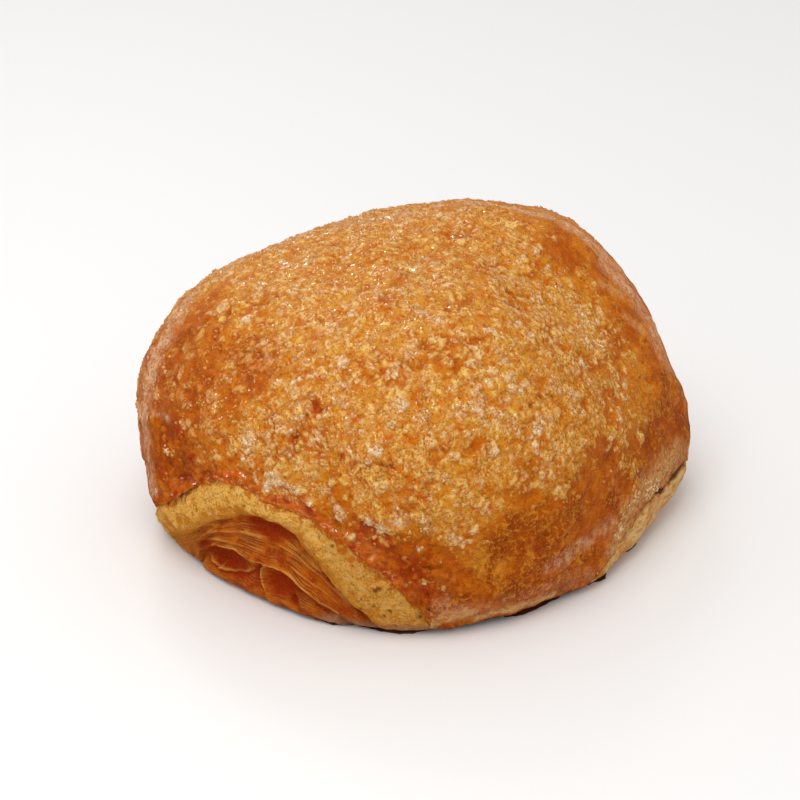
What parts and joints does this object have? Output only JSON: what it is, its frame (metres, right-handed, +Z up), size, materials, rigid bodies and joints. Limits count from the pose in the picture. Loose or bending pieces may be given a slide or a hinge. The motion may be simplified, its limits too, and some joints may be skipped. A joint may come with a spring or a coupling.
{
  "type": "kouign-amann",
  "caption": "Squat domed bun of layered, rolled dough with a sugary caramelised crust, arched layered cut ends, a low side seam and a flat base.",
  "frame": {"origin": "on the resting face, under the middle of the bun's box", "axes": "+X along the roll, with the better seen cut end at -X; +Y across it, with the seam side at -Y; +Z up, the shortest extent"},
  "size_m": [0.1066, 0.0982, 0.0584],
  "materials": {
    "caramelised_crust": "golden brown baked crust, half glossy with caramelised sugar"
  },
  "bodies": {
    "root": {"kouign_amann": "caramelised_crust"}
  },
  "joints": []
}
